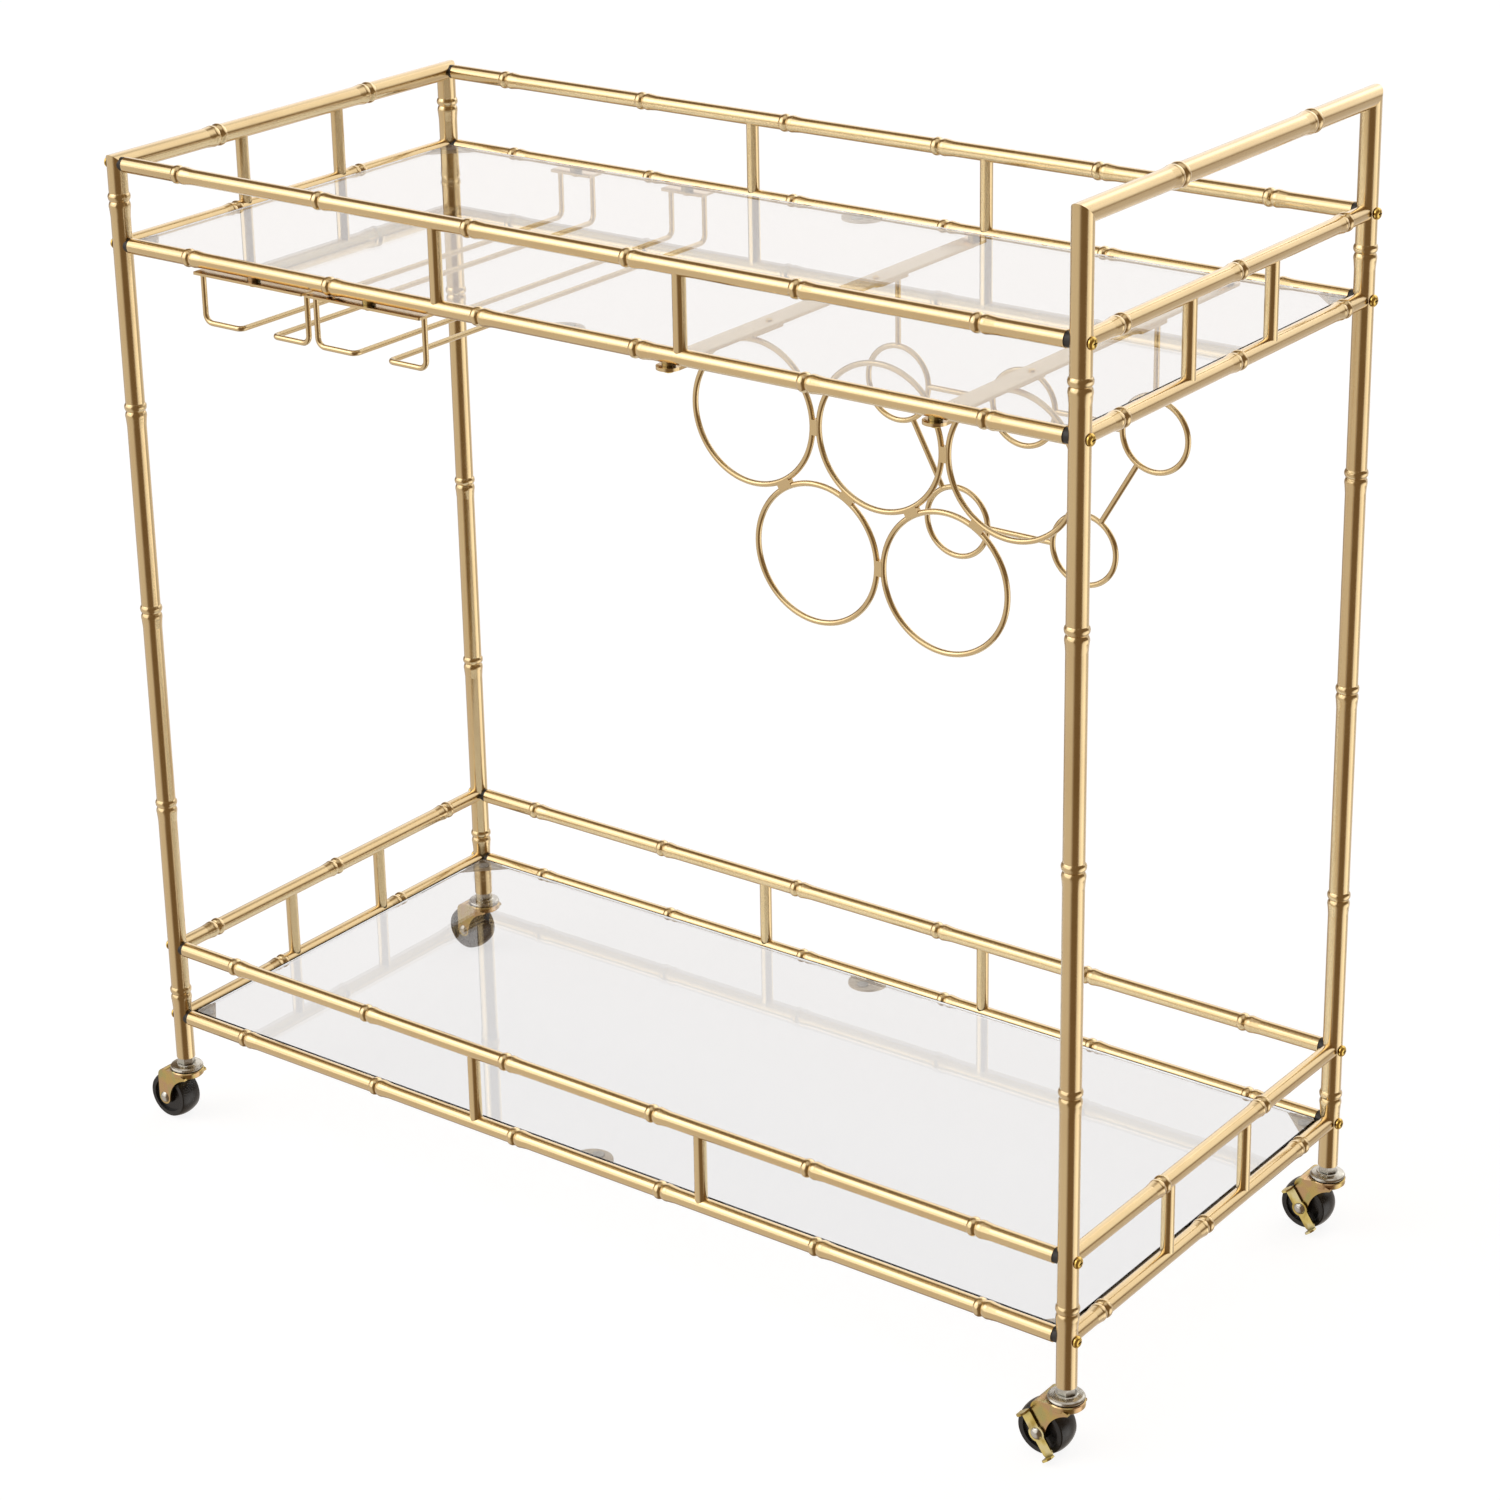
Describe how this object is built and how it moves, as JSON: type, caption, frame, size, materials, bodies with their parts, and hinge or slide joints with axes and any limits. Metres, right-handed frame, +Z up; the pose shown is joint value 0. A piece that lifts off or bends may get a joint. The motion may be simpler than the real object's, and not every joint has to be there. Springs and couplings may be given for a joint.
{
  "type": "bar cart",
  "caption": "Bar cart on swivel casters with glass shelves in ringed gold tube, low galleries, a raised push handle, hanging stemware wires and a ring rack for lying bottles",
  "frame": {"origin": "On the floor, midway between the posts front to back and at the middle of the overall length with the casters trailing towards -X", "axes": "+Z up; +X along the cart towards the raised push handle; -Y is the front, where the stemware wires open and the larger bottle rings are"},
  "size_m": [0.9496, 0.4366, 0.9492],
  "materials": {
    "frame_gold": "satin champagne gold over steel tube",
    "rack_gold": "satin champagne gold over steel wire and plate",
    "clear_glass": "clear, polished edge",
    "clear_pad": "clear soft pad",
    "brass_screw": "bright brass",
    "black_insert": "black",
    "steel_insert": "zinc plated",
    "yellow_zinc": "yellow zinc plated pressing",
    "lever_zinc": "yellow zinc plated pressing",
    "cap_steel": "bright zinc",
    "stem_zinc": "bright zinc",
    "rivet_zinc": "bright zinc",
    "ball_steel": "polished",
    "wheel_black": "black, semi-gloss"
  },
  "bodies": {
    "cart_frame": {"back_lower_gallery_rail": "frame_gold", "back_lower_shelf_rail": "frame_gold", "back_upper_gallery_rail": "frame_gold", "back_upper_shelf_rail": "frame_gold", "bottle_rings_lower": "rack_gold", "bottle_rings_upper": "rack_gold", "caster_caps": "cap_steel", "caster_stems": "stem_zinc", "crossbars": "rack_gold", "end_inserts": "black_insert", "front_lower_gallery_rail": "frame_gold", "front_lower_shelf_rail": "frame_gold", "front_upper_gallery_rail": "frame_gold", "front_upper_shelf_rail": "frame_gold", "glass_pads": "clear_pad", "glass_supports": "frame_gold", "handle_bar": "frame_gold", "holder_plates": "rack_gold", "left_lower_gallery_rail": "frame_gold", "left_lower_shelf_rail": "frame_gold", "left_top_bar": "frame_gold", "left_upper_shelf_rail": "frame_gold", "lower_glass": "clear_glass", "lower_spindles": "frame_gold", "neck_links": "rack_gold", "neck_rings": "rack_gold", "post_back_left": "frame_gold", "post_back_right": "frame_gold", "post_front_left": "frame_gold", "post_front_right": "frame_gold", "post_inserts": "steel_insert", "post_screws": "brass_screw", "rack_hangers": "rack_gold", "rack_screws": "brass_screw", "rack_tabs": "rack_gold", "rail_inserts": "steel_insert", "right_lower_gallery_rail": "frame_gold", "right_lower_shelf_rail": "frame_gold", "right_upper_gallery_rail": "frame_gold", "right_upper_shelf_rail": "frame_gold", "ring_joiners": "rack_gold", "shelf_screws": "brass_screw", "stem_wires": "rack_gold", "swivel_balls": "ball_steel", "upper_glass": "clear_glass", "upper_spindles": "frame_gold"},
    "fork_front_left": {"fork_front_left": "yellow_zinc", "axle_front_left": "rivet_zinc"},
    "wheel_front_left": {"wheel_front_left": "wheel_black"},
    "fork_back_left": {"fork_back_left": "yellow_zinc", "axle_back_left": "rivet_zinc"},
    "wheel_back_left": {"wheel_back_left": "wheel_black"},
    "fork_front_right": {"fork_front_right": "yellow_zinc", "axle_front_right": "rivet_zinc"},
    "wheel_front_right": {"wheel_front_right": "wheel_black"},
    "brake_front_right": {"brake_lever_front_right": "lever_zinc"},
    "fork_back_right": {"fork_back_right": "yellow_zinc", "axle_back_right": "rivet_zinc"},
    "wheel_back_right": {"wheel_back_right": "wheel_black"},
    "brake_back_right": {"brake_lever_back_right": "lever_zinc"}
  },
  "joints": [
    {"name": "swivel_front_left", "type": "hinge", "parent": "cart_frame", "child": "fork_front_left", "pos_m": [-0.43775, -0.1985, 0.0493], "axis": [0, 0, 1], "continuous": true},
    {"name": "roll_front_left", "type": "hinge", "parent": "fork_front_left", "child": "wheel_front_left", "pos_m": [-0.45375, -0.1985, 0.021], "axis": [0, 1, 0], "continuous": true},
    {"name": "swivel_back_left", "type": "hinge", "parent": "cart_frame", "child": "fork_back_left", "pos_m": [-0.43775, 0.1985, 0.0493], "axis": [0, 0, 1], "continuous": true},
    {"name": "roll_back_left", "type": "hinge", "parent": "fork_back_left", "child": "wheel_back_left", "pos_m": [-0.45375, 0.1985, 0.021], "axis": [0, 1, 0], "continuous": true},
    {"name": "swivel_front_right", "type": "hinge", "parent": "cart_frame", "child": "fork_front_right", "pos_m": [0.46025, -0.1985, 0.0493], "axis": [0, 0, 1], "continuous": true},
    {"name": "roll_front_right", "type": "hinge", "parent": "fork_front_right", "child": "wheel_front_right", "pos_m": [0.44425, -0.1985, 0.021], "axis": [0, 1, 0], "continuous": true},
    {"name": "brake_front_right", "type": "hinge", "parent": "fork_front_right", "child": "brake_front_right", "pos_m": [0.44425, -0.1985, 0.021], "axis": [0, -1, 0], "range_deg": [0, 20]},
    {"name": "swivel_back_right", "type": "hinge", "parent": "cart_frame", "child": "fork_back_right", "pos_m": [0.46025, 0.1985, 0.0493], "axis": [0, 0, 1], "continuous": true},
    {"name": "roll_back_right", "type": "hinge", "parent": "fork_back_right", "child": "wheel_back_right", "pos_m": [0.44425, 0.1985, 0.021], "axis": [0, 1, 0], "continuous": true},
    {"name": "brake_back_right", "type": "hinge", "parent": "fork_back_right", "child": "brake_back_right", "pos_m": [0.44425, 0.1985, 0.021], "axis": [0, -1, 0], "range_deg": [0, 20]}
  ]
}
